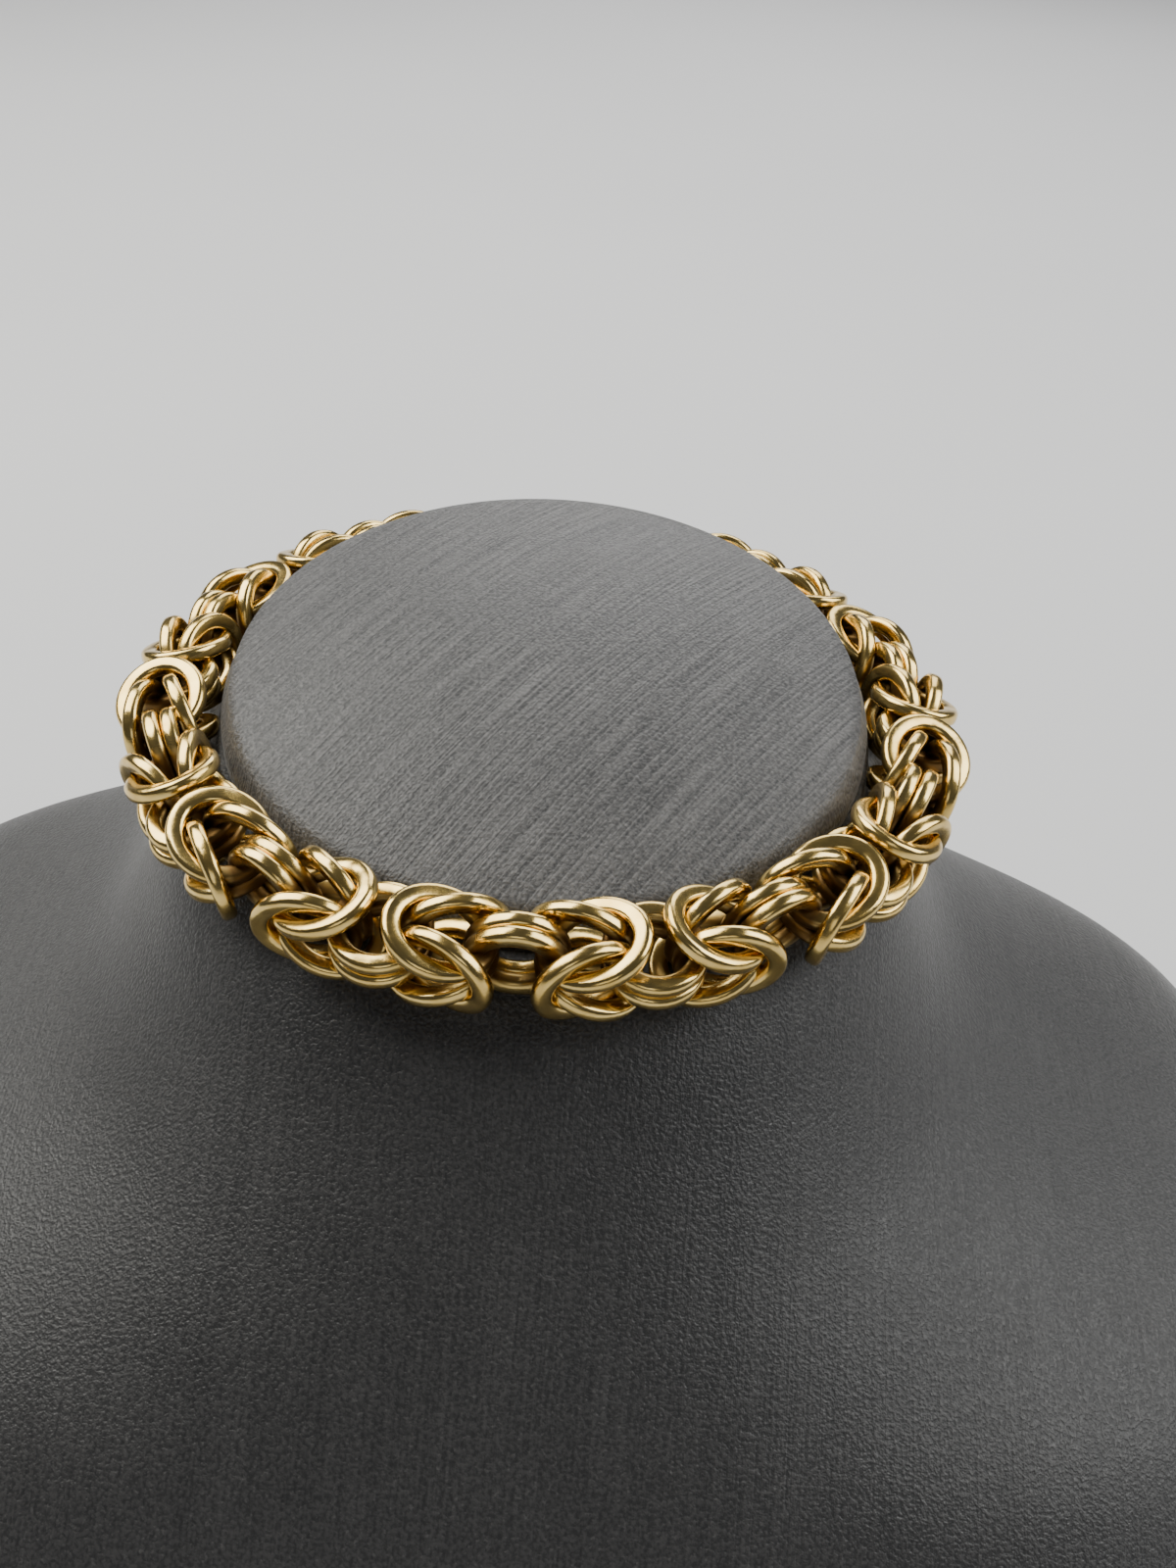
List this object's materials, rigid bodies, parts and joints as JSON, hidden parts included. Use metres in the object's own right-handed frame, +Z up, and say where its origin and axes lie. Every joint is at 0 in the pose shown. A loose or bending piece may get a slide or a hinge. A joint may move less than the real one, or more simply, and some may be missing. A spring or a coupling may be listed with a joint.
{
  "type": "byzantine chain on a neck bust",
  "caption": "Heavy byzantine chain of round links, closed round the neck of a low display bust with a domed cap.",
  "frame": {"origin": "middle of the whole object's box, on the surface that the bust stands on", "axes": "+Z up, the chest faces -Y, +X to the viewer's right from the front"},
  "size_m": [0.29, 0.209, 0.1286],
  "materials": {
    "leatherette": "grey leatherette with a fine grooved grain",
    "gold": "polished yellow gold"
  },
  "bodies": {
    "root": {"bust_body": "leatherette", "neck_cap": "leatherette", "chain": "gold", "clasp": "gold"}
  },
  "joints": []
}
